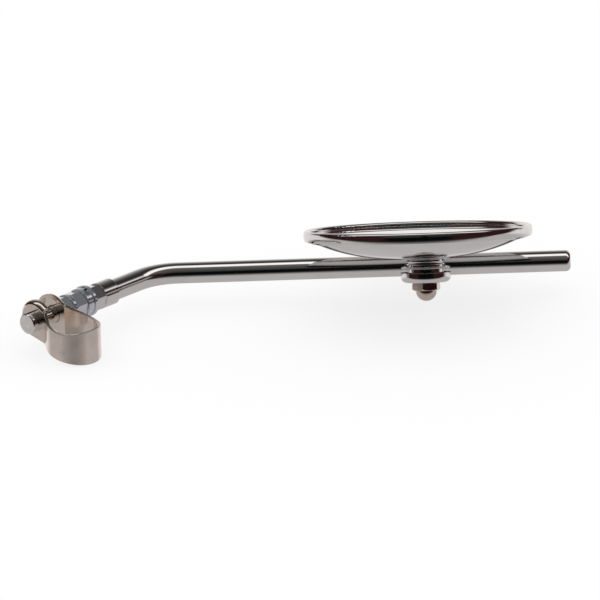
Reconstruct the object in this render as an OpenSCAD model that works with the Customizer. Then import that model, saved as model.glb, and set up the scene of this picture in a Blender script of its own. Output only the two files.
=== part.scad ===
// Round clamp-on handlebar mirror for a moped or small motorcycle.
// The origin is the middle of the handlebar bore, +Z runs along the bar and +X along the rod.

/* [Handlebar clamp] */
// Diameter of the handlebar that the loop closes on
bar_d = 22; // [18:0.5:25.4]
// Thickness of the folded strap
strap_t = 1.5; // [1.2:0.1:2]
// Width over the outside of the two ears
ears_w = 14.1; // [13:0.1:17]
// Distance from the handlebar's axis to the clamp bolt's axis
bolt_reach = 18.5; // [18.5:0.25:24]
// Height of the clamp bolt's axis above the middle of the loop
bolt_rise = 5.5; // [3:0.25:8]
// Radius of the round end of each ear
ear_r = 8.6; // [7.5:0.1:10]
// Height of the ear's centre above the bolt's axis
ear_lift = 1.2; // [0:0.1:2]
// Depth of the stiffening flange round each ear, from the ear's outer face
flange_depth = 3.2; // [2.6:0.1:4.2]
// Outer radius of the bend between an ear and its flange
flange_bend = 2; // [1.6:0.1:2.4]
// Height of the loop's lower edge below the origin
loop_drop = 6.2; // [5:0.1:8]
// Slope of the lower edge, in degrees
lower_slope = 13.5; // [8:0.5:18]
// Height of the scooped upper edge above the origin at its lowest
scoop_floor = 6; // [4:0.1:7]
// Radius of the scoop in the upper edge
scoop_r = 30; // [24:1:40]

/* [Clamp hardware] */
// Thread diameter of the clamp bolt
bolt_d = 8; // [6:0.5:8]
// Diameter of the bolt's round head
bolt_head_d = 9.6; // [9:0.1:12]
// Height of the bolt's round head
bolt_head_h = 4.5; // [3:0.1:6]
// Width across the flats of the two plated nuts
nut_af = 11.8; // [11:0.1:13]
// Height of the nut that closes the clamp
clamp_nut_h = 7; // [5:0.1:8]
// Height of the jam nut
jam_nut_h = 6.8; // [4:0.1:7]
// Thickness of the washer between the two nuts
nut_washer_t = 1.5; // [1:0.1:2]
// Outer diameter of the washer between the two nuts
nut_washer_d = 13; // [12:0.1:15]
// Thickness of the washer behind the jam nut
jam_washer_t = 1.4; // [1:0.1:2]
// Outer diameter of the washer behind the jam nut
jam_washer_d = 13.8; // [12:0.1:15]
// Thickness of the spring washer
lock_t = 2.4; // [1.6:0.1:2.6]
// Outer diameter of the spring washer
lock_d = 13.4; // [12:0.1:15]
// Thickness of the flat washer against the arm
flat_t = 1.5; // [1:0.1:2]
// Outer diameter of the flat washer against the arm
flat_d = 14.6; // [13:0.1:16]

/* [Arm] */
// Width across the flats of the arm's hexagon
socket_af = 11; // [11:0.1:13]
// Length of the arm's hexagon
socket_hex_l = 6.8; // [5:0.1:9]
// Diameter of the round collar behind the hexagon
collar_d = 12.2; // [11.8:0.1:14]
// Length of the round collar
collar_l = 8.8; // [6:0.1:12]
// Depth of the bolt's thread in the arm
thread_depth = 8.5; // [6:0.1:11]
// Diameter of the rod
rod_d = 9.8; // [8:0.1:10]
// Length from the collar's end to the corner of the bend
neck_l = 28.5; // [20:0.5:45]
// Angle between the clamp bolt and the long part of the rod
bend_angle = 45; // [30:1:60]
// Radius of the bend, to the middle of the rod
bend_r = 26; // [20:1:32]
// Length of the rod from the corner of the bend to its free end
rod_l = 191; // [180:1:240]
// Radius of the rounding on the rod's free end
rod_end_round = 2.3; // [1:0.1:3]

/* [Rod clip] */
// Distance along the rod from the corner of the bend to the stud
stud_place = 124.2; // [105:0.1:150]
// Distance from the rod's axis to the stud's axis
clip_reach = 28.5; // [28.5:0.5:34]
// Depth of the clip's two leaves below the level of the rod's axis
clip_drop = 0.8; // [0:0.05:0.8]
// Thickness of the clip's strip
clip_t = 0.9; // [0.7:0.1:1.2]
// Width of the clip along the rod
clip_w = 14; // [10:0.5:16]
// Diameter of the clip's round end
lug_d = 17.2; // [16.4:0.2:20]
// Thickness of the liner between the clip and the rod
liner_t = 0.3; // [0.2:0.05:0.3]
// Angle of the head about the rod, in degrees from level
head_tilt = 18; // [0:0.1:40]

/* [Stud stack] */
// Thread diameter of the head's stud
stud_d = 7; // [6:0.5:8]
// Outer diameter of the spool's two flanges
spool_d = 22.4; // [20:0.1:23]
// Thickness of each spool flange
spool_flange_t = 0.9; // [0.7:0.1:1.2]
// Diameter of the spool's waist
spool_waist_d = 17.6; // [14:0.1:19]
// Length of the spool
spool_l = 5.1; // [5.1:0.1:8]
// Outer diameter of the cup washer
cup_d = 23.2; // [20:0.1:24]
// Height of the cup washer
cup_h = 4.6; // [4:0.1:6]
// Wall of the cup washer
cup_t = 1; // [0.8:0.1:1.4]
// Radius of the rounding round the cup's bottom
cup_round = 2.6; // [2:0.1:3]
// Thickness of the spring washer in the cup
stud_lock_t = 1.6; // [1.2:0.1:2]
// Outer diameter of the two pieces in the cup
cup_fill_d = 12.4; // [11:0.1:14]
// Width across the flats of the dome nut
dome_af = 11.6; // [11:0.1:13]
// Height of the dome nut's hexagon
dome_hex_h = 3.7; // [3:0.1:6]
// Diameter of the dome
dome_d = 9.8; // [9:0.1:10.6]

/* [Mirror head] */
// Outer diameter of the mirror head
head_d = 105; // [90:1:120]
// Distance that the stud lies beside the head's centre
stud_offset = 3; // [0:0.5:6]
// Radius of the flat in the middle of the shell
shell_flat_r = 11.5; // [11.5:0.5:14]
// Radius of the curve from the flat to the rim
shell_curve_r = 88; // [80:1:88]
// Thickness of the shell
shell_t = 0.8; // [0.6:0.1:1.2]
// Height of the bezel ring
bezel_h = 5; // [5:0.1:7]
// Radius of the bezel's bulging outer face
bezel_bulge_r = 7; // [6:0.1:12]
// Thickness of the bezel's metal
bezel_t = 0.7; // [0.5:0.1:1]
// Width of the bezel's rolled lip
bezel_lip = 2.6; // [2:0.1:4]
// Depth of the glass below the bezel's upper edge
glass_depth = 2; // [1.6:0.1:2.2]
// Thickness of the mirror glass
glass_t = 1.8; // [1.6:0.1:2]
// Width of the rubber gasket under the glass's edge
gasket_w = 2; // [1.5:0.1:3]
// Gap between the gasket and the felt pad behind the glass
pad_gap = 4.4; // [1:0.2:18]
// Thickness of the plate that carries the stud
plate_t = 1.5; // [1:0.1:2]
// Radius of the plate that carries the stud
plate_r = 8.4; // [7:0.1:8.5]
// Height of the stud's head
stud_head_h = 2.2; // [1.5:0.1:3]
// Diameter of the stud's head
stud_head_d = 11; // [9:0.5:14]

/* [Hidden] */
$fn = 96;
// Clearance of a turning or sliding fit, on the radius
running_gap = 0.05;
// Clearance of a bolt or stud in a plain hole, on the radius
hole_gap = 0.15;
// Clearance of pieces that lie loosely beside each other
loose_gap = 0.2;
// Overlap that makes cuts clean
cut = 0.5;
// Turn of the hexagons about their axes
hex_turn = 13;
// Turned corners of the hexagons
chamfer = 0.15;
chamfer_angle = 30;
// Broken edges of the turned pieces
edge_break = 0.4;
// Straight stretch between the widest of the ears and the flare
flare_rise = 1.4;
// Room left between the bolt's end and the rod's end in the socket
socket_floor = 1;
// Slot of a spring washer: its width, its turn and its lean
slit_w = 1.2;
slit_turn = 200;
slit_lean = 20;
// Length by which the shell's rim stands in the bezel
bezel_overlap = 0.6;
// Width of the bezel's fold behind the shell
bezel_fold = 1.6;
// Gap that keeps pressed sheet pieces from sharing metal
sheet_gap = 0.02;

bar_r = bar_d / 2;
loop_r = bar_r + strap_t;
ear_x = ears_w / 2;
bolt_r = bolt_d / 2;
rod_r = rod_d / 2;
stud_r = stud_d / 2;

// The ear's side bends outward to meet the loop at a tangent
flare_start = sqrt(loop_r * loop_r - ear_x * ear_x) + flare_rise;
flare_far = sqrt(ear_x * ear_x + flare_start * flare_start);
flare_angle = atan2(flare_start, ear_x) - acos(loop_r / flare_far);
ear_z = bolt_rise + ear_lift;
ear_slope = 27;
tip_y = bolt_reach + ear_r;
ear = [bolt_reach, ear_z];
// Straight stretch of the flange, which ends where the ear starts to flare
rim_l = floor((bolt_reach - ear_r * sin(ear_slope) - flare_start) * 10 / cos(ear_slope)) / 10;
// Edge of the flat ear, where the bend to the flange begins, and the flange's end in the side view
plate_edge_r = ear_r - flange_bend;
rim_out = [-sin(ear_slope), cos(ear_slope)];
rim_back = [-cos(ear_slope), -sin(ear_slope)];
rim_end = ear + plate_edge_r * rim_out + rim_l * rim_back;

// Stations along the bolt, from the middle of the ears
nut_at = ear_x;
nut_washer_at = nut_at + clamp_nut_h;
jam_at = nut_washer_at + nut_washer_t;
jam_washer_at = jam_at + jam_nut_h;
lock_at = jam_washer_at + jam_washer_t;
flat_at = lock_at + lock_t;
socket_at = flat_at + flat_t;
collar_at = socket_at + socket_hex_l;
collar_end = collar_at + collar_l;
corner_at = collar_end + neck_l;
bend_leg = bend_r * tan(bend_angle / 2);
thread_end = socket_at + thread_depth;
rod_start = thread_end + socket_floor;

// Corner of the rod's bend
corner_x = corner_at * cos(bend_angle) - bolt_reach * sin(bend_angle);
corner_y = corner_at * sin(bend_angle) + bolt_reach * cos(bend_angle);

// Stations along the stud, from the middle of the clip's leaves
clip_bore_r = rod_r + liner_t + 2 * running_gap;
spool_at = clip_t;
pad_at = spool_at + spool_l;
cup_top = -clip_t - sheet_gap;
cup_bottom = cup_top - cup_h;
stud_lock_at = cup_top - stud_lock_t;
bush_l = cup_h - cup_t - stud_lock_t;
stud_end = cup_bottom - dome_hex_h;

// Levels in the head, from the outer face of the shell's flat
head_r = head_d / 2;
rim_r = head_r - bezel_t - bezel_overlap;
function shell_rise(r) = r <= shell_flat_r ? 0 : shell_curve_r
    - sqrt(shell_curve_r * shell_curve_r - (r - shell_flat_r) * (r - shell_flat_r));
rim_z = shell_rise(rim_r);
bezel_low = rim_z - bezel_overlap;
bezel_top = bezel_low + bezel_h;
lip_r = bezel_lip / 2;
glass_top = bezel_top - glass_depth;
glass_low = glass_top - glass_t;
glass_r = head_r - 3 * bezel_t;

// Puts its children on the clamp bolt's axis, which becomes their Z axis
module on_bolt(at = 0) {
    rotate([0, 0, bend_angle])
        translate([at, bolt_reach, bolt_rise])
            rotate([0, 90, 0])
                children();
}

// Puts its children on the stud's axis, at a height from the middle of the clip's leaves
module on_stud(at = 0) {
    translate([corner_x + stud_place, corner_y, bolt_rise])
        rotate([-head_tilt, 0, 0])
            translate([0, -clip_reach, at - clip_drop])
                children();
}

// Puts its children on the middle of the mirror head
module on_head(at = 0) {
    on_stud(pad_at + at)
        translate([-stud_offset, 0, 0])
            children();
}

// Plain round washer or bush
module washer(outer_r, inner_r, t) {
    difference() {
        cylinder(r = outer_r, h = t);
        translate([0, 0, -cut])
            cylinder(r = inner_r, h = t + 2 * cut);
    }
}

// Hexagonal prism with its corners turned off at one or both ends
module hex_body(af, h, low = true, high = true) {
    corner_r = af / sqrt(3);
    far_r = corner_r + 1;
    face_r = af / 2 - chamfer;
    slope_h = (far_r - face_r) * tan(chamfer_angle);
    intersection() {
        cylinder(r = corner_r, h = h, $fn = 6);
        rotate_extrude()
            polygon([
                [0, 0],
                [low ? face_r : far_r, 0],
                [far_r, low ? slope_h : 0],
                [far_r, high ? h - slope_h : h],
                [high ? face_r : far_r, h],
                [0, h]
            ]);
    }
}

// Hexagon nut with a plain bore
module hex_nut(af, h, bore_r) {
    difference() {
        hex_body(af, h);
        translate([0, 0, -cut])
            cylinder(r = bore_r, h = h + 2 * cut);
    }
}

// Split spring washer, whose ends stand apart
module spring_washer(outer_r, inner_r, t) {
    difference() {
        washer(outer_r, inner_r, t);
        rotate([0, 0, slit_turn])
            translate([inner_r - cut, -slit_w / 2, -cut])
                rotate([slit_lean, 0, 0])
                    cube([outer_r - inner_r + 2 * cut, slit_w, t + 4 * cut]);
    }
}

// Right half of the strap's plan, moved inward by an inset
function strap_half(inset) = [
    (loop_r - inset) * [cos(flare_angle), sin(flare_angle)],
    [ear_x - inset, flare_start - inset * tan(flare_angle / 2)],
    [ear_x - inset, tip_y + inset]
];

// Strap's plan without its inside: round loop, flared sides and parallel ears
module strap_plan(inset) {
    right = strap_half(inset);
    left = [for (i = [2:-1:0]) [-right[i][0], right[i][1]]];
    circle(r = loop_r - inset);
    polygon(concat([[0, 0]], right, left));
}

// Moves a point of the side view to the frame of the ear, whose X points to the start of the straight rim
function in_ear(p) = [(p - ear) * rim_out, (p - ear) * rim_back];

// Side view of the strap in front of the ears' rounded ends, with the scoop in its upper edge
module strap_side() {
    tail = -loop_r - cut;
    steps = 16;
    scoop_y = -bar_r / 2;
    scoop_z = scoop_floor + scoop_r;
    scoop_start = scoop_y + sqrt(scoop_r * scoop_r - (scoop_z - rim_end[1]) * (scoop_z - rim_end[1]));
    scoop = [for (i = [0:steps]) let (y = scoop_start + (tail - scoop_start) * i / steps)
        in_ear([y, scoop_z - sqrt(scoop_r * scoop_r - (y - scoop_y) * (y - scoop_y))])];
    polygon(concat([
        in_ear(ear + ear_r * [sin(lower_slope), -cos(lower_slope)]),
        [-ear_r, 0],
        [plate_edge_r, 0],
        [plate_edge_r, rim_l]
    ], scoop, [in_ear([tail, -loop_drop + tail * tan(lower_slope)])]));
}

// Section of an ear's rim: rounded bend and flange
module rim_section() {
    bend_at = [plate_edge_r, flange_depth - flange_bend];
    translate(bend_at)
        intersection() {
            difference() {
                circle(r = flange_bend);
                circle(r = flange_bend - strap_t);
            }
            square(flange_bend);
        }
    translate([ear_r - strap_t, 0])
        square([strap_t, bend_at[1]]);
}

// Stands its children up in the frame of an ear, with their Z across the ears
module ear_plane(x) {
    translate([x, bolt_reach, ear_z])
        rotate([0, 0, 90])
            rotate([90, 0, 0])
                rotate([0, 0, 90 + ear_slope])
                    children();
}

// Round end of an ear, with its bent rim that also runs back along the top
module ear_end() {
    ear_plane(ear_x - flange_depth) {
        rotate([0, 0, 180])
            rotate_extrude(angle = 180) {
                translate([0, flange_depth - strap_t])
                    square([plate_edge_r, strap_t]);
                rim_section();
            }
        translate([0, rim_l, 0])
            rotate([90, 0, 0])
                linear_extrude(height = rim_l)
                    rim_section();
    }
}

// Folded strip: loop, flared sides and the roots of the ears
module folded_strip() {
    intersection() {
        translate([0, 0, -2 * loop_r])
            linear_extrude(height = 5 * loop_r)
                difference() {
                    strap_plan(0);
                    strap_plan(strap_t);
                }
        ear_plane(-2 * loop_r)
            linear_extrude(height = 4 * loop_r)
                strap_side();
    }
}

module clamp_strap() {
    color([0.68, 0.64, 0.6])
        rotate([0, 0, bend_angle])
            difference() {
                union() {
                    folded_strip();
                    ear_end();
                    mirror([1, 0, 0])
                        ear_end();
                }
                translate([-2 * loop_r, bolt_reach, bolt_rise])
                    rotate([0, 90, 0])
                        cylinder(r = bolt_r + hole_gap, h = 4 * loop_r);
            }
}

module clamp_bolt() {
    color([0.72, 0.71, 0.7])
        on_bolt() {
            translate([0, 0, -ear_x - bolt_head_h])
                rotate_extrude()
                    polygon([
                        [0, 0],
                        [bolt_head_d / 2 - edge_break, 0],
                        [bolt_head_d / 2, edge_break],
                        [bolt_head_d / 2, bolt_head_h],
                        [0, bolt_head_h]
                    ]);
            translate([0, 0, -ear_x])
                cylinder(r = bolt_r, h = ear_x + thread_end - socket_floor / 2);
        }
}

module clamp_nut() {
    color([0.72, 0.76, 0.82])
        on_bolt(nut_at)
            rotate([0, 0, hex_turn])
                hex_nut(nut_af, clamp_nut_h, bolt_r + running_gap);
}

module nut_washer() {
    color([0.72, 0.76, 0.82])
        on_bolt(nut_washer_at)
            washer(nut_washer_d / 2, bolt_r + hole_gap, nut_washer_t);
}

module jam_nut() {
    color([0.72, 0.76, 0.82])
        on_bolt(jam_at)
            rotate([0, 0, hex_turn])
                hex_nut(nut_af, jam_nut_h, bolt_r + running_gap);
}

module jam_washer() {
    color([0.74, 0.78, 0.84])
        on_bolt(jam_washer_at)
            washer(jam_washer_d / 2, bolt_r + hole_gap, jam_washer_t);
}

module lock_washer() {
    color([0.66, 0.7, 0.76])
        on_bolt(lock_at)
            spring_washer(lock_d / 2, bolt_r + hole_gap, lock_t);
}

module flat_washer() {
    color([0.76, 0.8, 0.86])
        on_bolt(flat_at)
            washer(flat_d / 2, bolt_r + hole_gap, flat_t);
}

module arm_socket() {
    color([0.8, 0.8, 0.8])
        on_bolt(socket_at)
            difference() {
                union() {
                    rotate([0, 0, hex_turn])
                        hex_body(socket_af, socket_hex_l, high = false);
                    cylinder(r = socket_af / 2 - chamfer, h = socket_hex_l + collar_l / 2);
                    translate([0, 0, socket_hex_l])
                        rotate_extrude()
                            polygon([
                                [0, 0],
                                [collar_d / 2, 0],
                                [collar_d / 2, collar_l - edge_break],
                                [collar_d / 2 - edge_break, collar_l],
                                [0, collar_l]
                            ]);
                }
                translate([0, 0, -cut])
                    cylinder(r = bolt_r + running_gap, h = thread_depth + cut);
                translate([0, 0, rod_start - socket_at])
                    cylinder(r = rod_r + running_gap, h = collar_end - rod_start + cut);
            }
}

// Rod with a rounded far end, along its own Z axis
module round_ended(l) {
    rotate_extrude() {
        square([rod_r - rod_end_round, l]);
        square([rod_r, l - rod_end_round]);
        translate([rod_r - rod_end_round, l - rod_end_round])
            intersection() {
                circle(r = rod_end_round);
                square(rod_end_round);
            }
    }
}

module arm_rod() {
    color([0.82, 0.82, 0.82])
        translate([corner_x + bend_leg, corner_y - bend_r, bolt_rise])
            rotate([0, 0, 90]) {
                rotate_extrude(angle = bend_angle)
                    translate([bend_r, 0])
                        circle(r = rod_r);
                rotate([0, 0, bend_angle])
                    translate([bend_r, 0, 0])
                        rotate([-90, 0, 0])
                            cylinder(r = rod_r, h = corner_at - bend_leg - rod_start);
                translate([bend_r, 0, 0])
                    rotate([90, 0, 0])
                        round_ended(rod_l - bend_leg);
            }
}

// Puts its children on the rod's axis under the stud, with their Z axis along the rod
module on_clip() {
    translate([corner_x + stud_place, corner_y, bolt_rise])
        rotate([-head_tilt, 0, 0])
            rotate([0, 90, 0])
                children();
}

module clip_liner() {
    color([0.15, 0.15, 0.16])
        on_clip()
            translate([0, 0, -clip_w / 2])
                washer(rod_r + running_gap + liner_t, rod_r + running_gap, clip_w);
}

module rod_clip() {
    lug_r = lug_d / 2;
    color([0.78, 0.78, 0.78])
        difference() {
            union() {
                on_clip()
                    translate([0, 0, -clip_w / 2])
                        cylinder(r = clip_bore_r + clip_t, h = clip_w);
                on_stud(-clip_t) {
                    cylinder(r = lug_r, h = 2 * clip_t);
                    translate([-clip_w / 2, 0, 0])
                        cube([clip_w, clip_reach - clip_bore_r - clip_t / 2, 2 * clip_t]);
                }
            }
            on_clip()
                translate([0, 0, -clip_w])
                    cylinder(r = clip_bore_r, h = 2 * clip_w);
            on_stud(-clip_t - cut)
                cylinder(r = stud_r + hole_gap, h = 2 * clip_t + 2 * cut);
        }
}

module spool_spacer() {
    waist = spool_waist_d / 2;
    flange = spool_d / 2;
    waist_l = spool_l - 2 * spool_flange_t;
    color([0.8, 0.8, 0.8])
        on_stud(spool_at)
            rotate_extrude()
                difference() {
                    union() {
                        translate([stud_r + hole_gap, 0])
                            square([waist - stud_r - hole_gap, spool_l]);
                        for (z = [spool_flange_t / 2, spool_l - spool_flange_t / 2]) {
                            translate([waist - 1, z - spool_flange_t / 2])
                                square([flange - waist + 1 - spool_flange_t / 2, spool_flange_t]);
                            translate([flange - spool_flange_t / 2, z])
                                circle(r = spool_flange_t / 2, $fn = 24);
                        }
                    }
                    translate([waist + waist_l * 0.55, spool_l / 2])
                        circle(r = waist_l * 0.6);
                }
}

// Cup washer with a rounded bottom edge, open towards the clip
module cup_washer() {
    outer = cup_d / 2;
    color([0.8, 0.8, 0.8])
        on_stud(cup_bottom)
            rotate_extrude()
                difference() {
                    union() {
                        square([outer - cup_round, cup_h]);
                        translate([0, cup_round])
                            square([outer, cup_h - cup_round]);
                        translate([outer - cup_round, cup_round])
                            circle(r = cup_round);
                    }
                    translate([-cut, -cut])
                        square([stud_r + hole_gap + cut, cup_h + 2 * cut]);
                    translate([0, cup_t])
                        square([outer - cup_round, cup_h]);
                    translate([0, cup_round])
                        square([outer - cup_t, cup_h]);
                    translate([outer - cup_round, cup_round])
                        circle(r = cup_round - cup_t);
                }
}

module stud_lock_washer() {
    color([0.6, 0.6, 0.6])
        on_stud(stud_lock_at)
            spring_washer(cup_fill_d / 2, stud_r + hole_gap, stud_lock_t);
}

module stud_bush() {
    color([0.6, 0.6, 0.6])
        on_stud(cup_bottom + cup_t)
            washer(cup_fill_d / 2, stud_r + hole_gap, bush_l);
}

module dome_nut() {
    color([0.8, 0.78, 0.76])
        on_stud(cup_bottom)
            mirror([0, 0, 1])
                difference() {
                    union() {
                        rotate([0, 0, 30 - hex_turn])
                            hex_body(dome_af, dome_hex_h);
                        translate([0, 0, dome_hex_h - cut])
                            cylinder(r = dome_d / 2, h = cut);
                        translate([0, 0, dome_hex_h])
                            rotate_extrude()
                                intersection() {
                                    circle(r = dome_d / 2);
                                    square(dome_d);
                                }
                    }
                    translate([0, 0, -cut])
                        cylinder(r = stud_r + running_gap, h = dome_hex_h + 2 * cut);
                }
}

module head_stud() {
    color([0.6, 0.6, 0.6])
        on_stud() {
            translate([0, 0, stud_end])
                cylinder(r = stud_r, h = pad_at + shell_t + plate_t - stud_end);
            translate([0, 0, pad_at + shell_t + plate_t])
                cylinder(r = stud_head_d / 2, h = stud_head_h);
        }
}

module stud_plate() {
    color([0.6, 0.6, 0.6])
        on_stud(pad_at + shell_t)
            washer(plate_r, stud_r + running_gap, plate_t);
}

module mirror_shell() {
    color([0.8, 0.8, 0.8])
        difference() {
            on_head()
                rotate_extrude()
                    difference() {
                        intersection() {
                            union() {
                                square([shell_flat_r, rim_z]);
                                translate([shell_flat_r, shell_curve_r])
                                    circle(r = shell_curve_r, $fn = 360);
                            }
                            square([rim_r, rim_z]);
                        }
                        translate([0, shell_t])
                            square([shell_flat_r, rim_z]);
                        intersection() {
                            translate([shell_flat_r, shell_curve_r])
                                circle(r = shell_curve_r - shell_t, $fn = 360);
                            translate([shell_flat_r, 0])
                                square([rim_r, rim_z + cut]);
                        }
                    }
            on_stud(pad_at - cut)
                cylinder(r = stud_r + hole_gap, h = shell_t + 2 * cut);
        }
}

// Pressed ring with a bulging face, a rolled lip over the glass and a fold behind the shell
module bezel_ring() {
    mid_z = (bezel_low + bezel_top) / 2;
    mid_r = head_r - bezel_bulge_r;
    lip_at = bezel_top - lip_r;
    face_r = mid_r + sqrt(bezel_bulge_r * bezel_bulge_r - (lip_at - mid_z) * (lip_at - mid_z));
    low_r = mid_r + sqrt(bezel_bulge_r * bezel_bulge_r - bezel_h * bezel_h / 4) - bezel_t / 2;
    fold_r = rim_r - bezel_fold;
    fold_z = shell_rise(fold_r) - sheet_gap;
    color([0.82, 0.82, 0.82])
        on_head()
            rotate_extrude() {
                intersection() {
                    difference() {
                        translate([mid_r, mid_z])
                            circle(r = bezel_bulge_r, $fn = 180);
                        translate([mid_r, mid_z])
                            circle(r = bezel_bulge_r - bezel_t, $fn = 180);
                    }
                    translate([mid_r + 1, bezel_low])
                        square([bezel_bulge_r, lip_at - bezel_low]);
                }
                polygon([
                    [fold_r, fold_z],
                    [fold_r, fold_z - bezel_t],
                    [low_r, bezel_low],
                    [low_r, rim_z - sheet_gap],
                    [rim_r, rim_z - sheet_gap]
                ]);
                translate([face_r - lip_r, lip_at])
                    intersection() {
                        difference() {
                            circle(r = lip_r);
                            circle(r = lip_r - bezel_t);
                        }
                        union() {
                            translate([-lip_r, 0])
                                square([bezel_lip, lip_r]);
                            translate([0, -bezel_t / 2])
                                square([lip_r, bezel_t]);
                        }
                    }
                translate([face_r - bezel_lip, glass_top])
                    square([bezel_t, lip_at - glass_top]);
            }
}

module backing_pad() {
    pad_r = glass_r - gasket_w - pad_gap;
    pad_bore_r = plate_r + 4;
    color([0.25, 0.25, 0.25])
        on_head()
            rotate_extrude()
                difference() {
                    translate([pad_bore_r, 0])
                        square([pad_r - pad_bore_r, glass_low]);
                    difference() {
                        translate([shell_flat_r, -cut])
                            square([pad_r, glass_low]);
                        translate([shell_flat_r, shell_curve_r])
                            circle(r = shell_curve_r - shell_t - loose_gap, $fn = 360);
                    }
                }
}

module glass_gasket() {
    color([0.1, 0.1, 0.1])
        on_head(rim_z)
            washer(glass_r, glass_r - gasket_w, glass_low - rim_z);
}

module mirror_glass() {
    color([0.75, 0.8, 0.85])
        on_head(glass_low)
            cylinder(r = glass_r, h = glass_t);
}

clamp_strap();
clamp_bolt();
clamp_nut();
nut_washer();
jam_nut();
jam_washer();
lock_washer();
flat_washer();
arm_socket();
arm_rod();
clip_liner();
rod_clip();
spool_spacer();
cup_washer();
stud_lock_washer();
stud_bush();
dome_nut();
head_stud();
stud_plate();
mirror_shell();
bezel_ring();
backing_pad();
glass_gasket();
mirror_glass();
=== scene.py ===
"""Looks of the round clamp-on motorcycle mirror: finishes, floor, studio and camera."""

import math

import bpy
from mathutils import Matrix, Vector


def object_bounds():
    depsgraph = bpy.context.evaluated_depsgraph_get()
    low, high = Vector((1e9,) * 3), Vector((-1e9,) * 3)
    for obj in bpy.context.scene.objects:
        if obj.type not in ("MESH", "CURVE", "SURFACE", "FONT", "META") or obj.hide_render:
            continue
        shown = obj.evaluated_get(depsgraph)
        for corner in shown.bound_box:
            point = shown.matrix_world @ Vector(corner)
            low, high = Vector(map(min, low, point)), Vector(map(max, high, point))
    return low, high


MM = 0.001

# Camera: the photograph's viewing angle, from far away.
CAMERA_RISE = math.radians(21.2)
CAMERA_ROLL = math.radians(1.83)
CAMERA_TARGET = Vector((103.886, 43.833, -1.98)) * MM
CAMERA_FAR = 11.0
FRAME_WIDE = 275.1 * MM
SENSOR_WIDE = 36.0

# Floor under the lowest point of the part.
FLOOR_GAP = 0.1 * MM
FLOOR_HALF = 12.0
FLOOR_WHITE = 0.24
FLOOR_LIFT = 0.76

# What polished metal sees of the studio: degrees and level. It goes from the back horizon
# at -180, by straight down at -90, the front horizon at 0 and straight up at 90, to the
# back horizon again at 180.
STUDIO = (
    (-180, 0.85),
    (-155, 0.85),
    (-140, 0.52),
    (-36, 0.52),
    (-24, 0.36),
    (-12, 0.06),
    (-3, 0.004),
    (21, 0.003),
    (30, 0.05),
    (50, 0.09),
    (68, 0.13),
    (76, 0.22),
    (80, 1.25),
    (100, 1.25),
    (105, 0.25),
    (111, 0.03),
    (124, 0.04),
    (140, 0.17),
    (155, 0.42),
    (165, 0.62),
    (180, 0.85),
)
STUDIO_TINT = (1.0, 0.965, 0.955)

# Dark sides of the studio. They come in with the sideways share of a direction, between
# a low and a high edge on its upward share.
SIDE_DARK = (0.032, 0.011, 0.011, 1)
SIDE_FROM = 0.45
SIDE_FULL = 0.7
SIDE_UNDER = (-0.12, -0.02)
SIDE_OVER = (0.42, 0.6)

WHITE = (1, 1, 1, 1)

# Noise in every finish: where its patches begin and end, and how fine it is.
STAIN_RANGE = (0.35, 0.7)
ROUGH_RANGE = (0.3, 0.75)
PATCH_DETAIL = 4.0
GRAIN_DETAIL = 3.0
NOISE_ROUGHNESS = 0.55
EDGE_SAMPLES = 6


def put(tree, kind, settings, inputs):
    """A new node with these settings. An input is a plain value, or a socket to link."""
    node = tree.nodes.new(kind)
    for name, value in settings.items():
        setattr(node, name, value)
    for name, value in inputs.items():
        if isinstance(value, bpy.types.NodeSocket):
            tree.links.new(value, node.inputs[name])
        else:
            node.inputs[name].default_value = value
    return node


def math_node(tree, operation, first, second=0.0, third=0.0):
    """The result of this operation on plain values or sockets."""
    inputs = {0: first, 1: second, 2: third}
    return put(tree, "ShaderNodeMath", {"operation": operation}, inputs).outputs[0]


def spread(tree, value, low, high, to_low, to_high):
    """The value, taken smoothly from one range to another and kept inside it."""
    node = put(
        tree,
        "ShaderNodeMapRange",
        {"interpolation_type": "SMOOTHSTEP", "clamp": True},
        {"Value": value, "From Min": low, "From Max": high, "To Min": to_low, "To Max": to_high},
    )
    return node.outputs["Result"]


def mix_colour(tree, share, first, second):
    """The first colour at a share of 0, the second at 1."""
    node = put(tree, "ShaderNodeMix", {"data_type": "RGBA"}, {0: share, 6: first, 7: second})
    return node.outputs[2]


def noise(tree, grain, detail, stretch=(1, 1, 1)):
    """Noise with features of about this size in metres, drawn out along the axes."""
    place = put(tree, "ShaderNodeTexCoord", {}, {}).outputs["Object"]
    drawn = put(tree, "ShaderNodeMapping", {}, {"Vector": place, "Scale": stretch})
    inputs = {
        "Vector": drawn.outputs[0],
        "Scale": 1 / grain,
        "Detail": detail,
        "Roughness": NOISE_ROUGHNESS,
    }
    return put(tree, "ShaderNodeTexNoise", {}, inputs).outputs[0]


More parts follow.
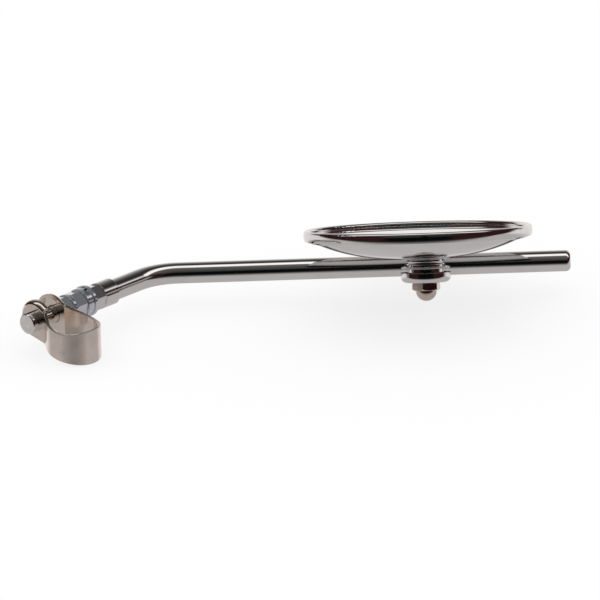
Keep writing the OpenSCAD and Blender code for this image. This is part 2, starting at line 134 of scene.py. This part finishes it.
def finish(
    name,
    colour,
    stain,
    roughness,
    patch,
    grain,
    depth,
    metallic=1.0,
    edge=0.2 * MM,
    stretch=(1, 1, 1),
    values=None,
):
    """A surface with patches between two colours and two roughnesses, grain and eased edges."""
    material = bpy.data.materials.new(name)
    material.use_nodes = True
    tree = material.node_tree
    tree.nodes.clear()
    patches = noise(tree, patch, PATCH_DETAIL)
    stained = spread(tree, patches, *STAIN_RANGE, 0.0, 1.0)
    eased = put(tree, "ShaderNodeBevel", {"samples": EDGE_SAMPLES}, {"Radius": edge})
    bump = put(
        tree,
        "ShaderNodeBump",
        {},
        {
            "Strength": 1.0,
            "Distance": depth,
            "Height": noise(tree, grain, GRAIN_DETAIL, stretch),
            "Normal": eased.outputs[0],
        },
    )
    inputs = {
        "Base Color": mix_colour(tree, stained, colour, stain),
        "Metallic": metallic,
        "Roughness": spread(tree, patches, *ROUGH_RANGE, *roughness),
        "Normal": bump.outputs[0],
    }
    inputs.update(values or {})
    shader = put(tree, "ShaderNodeBsdfPrincipled", {}, inputs)
    put(tree, "ShaderNodeOutputMaterial", {}, {"Surface": shader.outputs[0]})
    return material


def dress(nodes, names, material):
    """Gives these pieces this material."""
    for name in names:
        mesh = nodes[name].data
        mesh.materials.clear()
        mesh.materials.append(material)


def dress_part(nodes):
    """Makes the finishes and gives each piece its own."""
    chrome = finish(
        "polished_chrome",
        colour=(0.78, 0.775, 0.77, 1),
        stain=(0.72, 0.71, 0.71, 1),
        roughness=(0.02, 0.05),
        patch=24 * MM,
        grain=12 * MM,
        depth=0.003 * MM,
    )
    warm_chrome = finish(
        "warm_chrome",
        colour=(0.66, 0.57, 0.50, 1),
        stain=(0.58, 0.50, 0.44, 1),
        roughness=(0.05, 0.09),
        patch=6 * MM,
        grain=4 * MM,
        depth=0.003 * MM,
    )
    nickel = finish(
        "satin_nickel",
        colour=(0.78, 0.70, 0.635, 1),
        stain=(0.70, 0.625, 0.57, 1),
        roughness=(0.10, 0.18),
        patch=7 * MM,
        grain=1.6 * MM,
        depth=0.006 * MM,
        edge=0.35 * MM,
    )
    bolt = finish(
        "nickel_bolt",
        colour=(0.88, 0.86, 0.84, 1),
        stain=(0.74, 0.72, 0.70, 1),
        roughness=(0.08, 0.15),
        patch=4 * MM,
        grain=1.2 * MM,
        depth=0.005 * MM,
        edge=0.3 * MM,
    )
    zinc = finish(
        "bluish_zinc",
        colour=(0.72, 0.75, 0.79, 1),
        stain=(0.64, 0.65, 0.72, 1),
        roughness=(0.06, 0.13),
        patch=3 * MM,
        grain=1.2 * MM,
        depth=0.004 * MM,
        metallic=0.88,
        edge=0.3 * MM,
    )
    steel = finish(
        "plain_steel",
        colour=(0.55, 0.54, 0.53, 1),
        stain=(0.42, 0.41, 0.40, 1),
        roughness=(0.30, 0.45),
        patch=5 * MM,
        grain=0.5 * MM,
        depth=0.01 * MM,
    )
    rubber = finish(
        "black_rubber",
        colour=(0.018, 0.018, 0.019, 1),
        stain=(0.032, 0.031, 0.030, 1),
        roughness=(0.50, 0.68),
        patch=4 * MM,
        grain=0.3 * MM,
        depth=0.02 * MM,
        metallic=0.0,
    )
    felt = finish(
        "grey_felt",
        colour=(0.16, 0.16, 0.165, 1),
        stain=(0.24, 0.235, 0.23, 1),
        roughness=(0.85, 0.97),
        patch=2 * MM,
        grain=0.4 * MM,
        depth=0.12 * MM,
        metallic=0.0,
        stretch=(1.0, 2.5, 1.0),
    )
    silvered = finish(
        "mirror_glass",
        colour=(0.90, 0.91, 0.905, 1),
        stain=(0.88, 0.885, 0.88, 1),
        roughness=(0.0, 0.015),
        patch=30 * MM,
        grain=40 * MM,
        depth=0.0005 * MM,
        metallic=0.78,
        values={"Coat Weight": 1.0, "Coat Roughness": 0.0},
    )
    dress(
        nodes,
        (
            "arm_socket",
            "arm_rod",
            "rod_clip",
            "spool_spacer",
            "cup_washer",
            "mirror_shell",
            "bezel_ring",
        ),
        chrome,
    )
    dress(nodes, ("dome_nut",), warm_chrome)
    dress(nodes, ("clamp_strap",), nickel)
    dress(nodes, ("clamp_bolt",), bolt)
    dress(
        nodes,
        ("clamp_nut", "nut_washer", "jam_nut", "jam_washer", "lock_washer", "flat_washer"),
        zinc,
    )
    dress(nodes, ("head_stud", "stud_lock_washer", "stud_bush", "stud_plate"), steel)
    dress(nodes, ("clip_liner", "glass_gasket"), rubber)
    dress(nodes, ("backing_pad",), felt)
    dress(nodes, ("mirror_glass",), silvered)


def make_world():
    """White to the camera, even light on matt surfaces, and the studio's bands in metal."""
    world = bpy.data.worlds.new("studio")
    bpy.context.scene.world = world
    world.use_nodes = True
    tree = world.node_tree
    tree.nodes.clear()
    place = put(tree, "ShaderNodeTexCoord", {}, {}).outputs["Generated"]
    axes = put(tree, "ShaderNodeSeparateXYZ", {}, {0: place}).outputs
    front = math_node(tree, "MULTIPLY", axes["Y"], -1.0)
    angle = math_node(tree, "ARCTAN2", axes["Z"], front)
    turn = math_node(tree, "MULTIPLY_ADD", angle, 1 / (2 * math.pi), 0.5)
    ramp = put(tree, "ShaderNodeValToRGB", {}, {0: turn})
    marks = ramp.color_ramp.elements
    while len(marks) < len(STUDIO):
        marks.new(0.5)
    for mark, (degrees, level) in zip(marks, STUDIO):
        mark.position = degrees / 360 + 0.5
        mark.color = [level * tint for tint in STUDIO_TINT] + [1]
    sideways = math_node(tree, "ABSOLUTE", axes["X"])
    beside = spread(tree, sideways, SIDE_FROM, SIDE_FULL, 0.0, 1.0)
    above = spread(tree, axes["Z"], *SIDE_UNDER, 0.0, 1.0)
    below = spread(tree, axes["Z"], *SIDE_OVER, 1.0, 0.0)
    share = math_node(tree, "MULTIPLY", beside, math_node(tree, "MULTIPLY", above, below))
    bands = mix_colour(tree, share, ramp.outputs[0], SIDE_DARK)
    studio = put(tree, "ShaderNodeBackground", {}, {0: bands, 1: 1.0})
    white = put(tree, "ShaderNodeBackground", {}, {0: WHITE, 1: 1.0})
    path = put(tree, "ShaderNodeLightPath", {}, {}).outputs
    in_metal = math_node(tree, "MAXIMUM", path["Is Glossy Ray"], path["Is Transmission Ray"])
    choice = {0: in_metal, 1: white.outputs[0], 2: studio.outputs[0]}
    light = put(tree, "ShaderNodeMixShader", {}, choice)
    put(tree, "ShaderNodeOutputWorld", {}, {0: light.outputs[0]})


def make_floor(height):
    """A wide pale floor that keeps the part's soft shadow."""
    mesh = bpy.data.meshes.new("floor")
    corners = [
        (-FLOOR_HALF, -FLOOR_HALF, height),
        (FLOOR_HALF, -FLOOR_HALF, height),
        (FLOOR_HALF, FLOOR_HALF, height),
        (-FLOOR_HALF, FLOOR_HALF, height),
    ]
    mesh.from_pydata(corners, [], [(0, 1, 2, 3)])
    floor = bpy.data.objects.new("floor", mesh)
    bpy.context.scene.collection.objects.link(floor)
    material = bpy.data.materials.new("pale_floor")
    material.use_nodes = True
    tree = material.node_tree
    tree.nodes.clear()
    path = put(tree, "ShaderNodeLightPath", {}, {}).outputs
    matt = put(tree, "ShaderNodeBsdfDiffuse", {}, {0: (FLOOR_WHITE,) * 3 + (1,)})
    level = math_node(tree, "MULTIPLY", path["Is Camera Ray"], FLOOR_LIFT)
    lift = put(tree, "ShaderNodeEmission", {}, {0: WHITE, 1: level})
    seen = put(tree, "ShaderNodeAddShader", {}, {0: matt.outputs[0], 1: lift.outputs[0]})
    put(tree, "ShaderNodeOutputMaterial", {}, {"Surface": seen.outputs[0]})
    mesh.materials.append(material)
    # Metal sees the world's pale lower half in place of the floor.
    floor.visible_glossy = False
    floor.visible_transmission = False


def make_camera():
    """A far camera with a long lens, turned a little about its own line of sight."""
    level_up = Vector((0, math.sin(CAMERA_RISE), math.cos(CAMERA_RISE)))
    back = Vector((0, -math.cos(CAMERA_RISE), math.sin(CAMERA_RISE)))
    right = Vector((math.cos(CAMERA_ROLL), 0, 0)) - level_up * math.sin(CAMERA_ROLL)
    up = back.cross(right)
    turned = Matrix((right, up, back)).transposed().to_4x4()
    data = bpy.data.cameras.new("camera")
    data.sensor_width = SENSOR_WIDE
    data.lens = CAMERA_FAR * SENSOR_WIDE / FRAME_WIDE
    data.clip_end = 2 * CAMERA_FAR
    camera = bpy.data.objects.new("camera", data)
    bpy.context.scene.collection.objects.link(camera)
    camera.matrix_world = Matrix.Translation(CAMERA_TARGET + back * CAMERA_FAR) @ turned
    bpy.context.scene.camera = camera


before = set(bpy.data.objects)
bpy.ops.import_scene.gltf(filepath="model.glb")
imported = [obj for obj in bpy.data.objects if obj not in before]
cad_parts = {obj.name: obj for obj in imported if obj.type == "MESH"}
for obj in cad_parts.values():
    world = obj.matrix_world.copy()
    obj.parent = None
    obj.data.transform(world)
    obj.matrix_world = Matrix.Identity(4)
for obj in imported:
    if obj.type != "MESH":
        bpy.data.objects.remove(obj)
cad_low, cad_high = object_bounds()
bpy.context.scene.view_settings.view_transform = "Standard"
dress_part(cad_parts)
make_world()
make_floor(cad_low.z - FLOOR_GAP)
make_camera()
